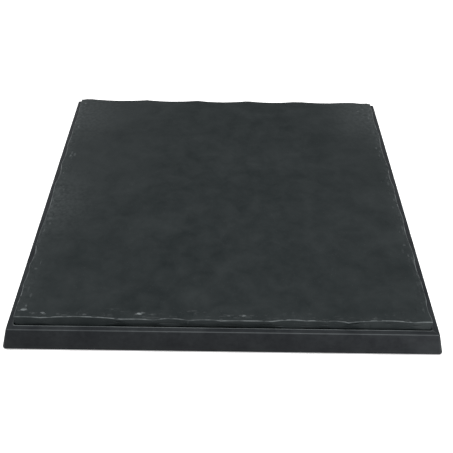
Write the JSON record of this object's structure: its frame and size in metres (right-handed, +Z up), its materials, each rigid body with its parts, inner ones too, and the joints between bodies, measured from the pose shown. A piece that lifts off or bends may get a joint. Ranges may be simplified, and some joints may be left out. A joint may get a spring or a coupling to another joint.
{
  "type": "slate serving board",
  "caption": "Square serving board: a slate slab with hand-dressed edges that lifts out of a shallow recess in a low moulded base with a flared skirt and push-in feet.",
  "frame": {"origin": "middle of the board on the surface that its feet stand on", "axes": "+X to the right and +Y to the back along the board's sides, +Z up"},
  "size_m": [0.305, 0.305, 0.0225],
  "materials": {
    "base": "satin charcoal moulding",
    "slate": "oiled natural slate, dressed edges",
    "feet": "matt black rubber",
    "pads": "soft silicone"
  },
  "bodies": {
    "base": {"base": "base", "foot_front_left": "feet", "foot_front_right": "feet", "foot_back_left": "feet", "foot_back_right": "feet", "pad_front_left": "pads", "pad_front_right": "pads", "pad_back_left": "pads", "pad_back_right": "pads"},
    "slab": {"slate_slab": "slate"}
  },
  "joints": [
    {"name": "slab_lift", "type": "slide", "parent": "base", "child": "slab", "axis": [0, 0, 1], "range_m": [0, 0.03]}
  ]
}
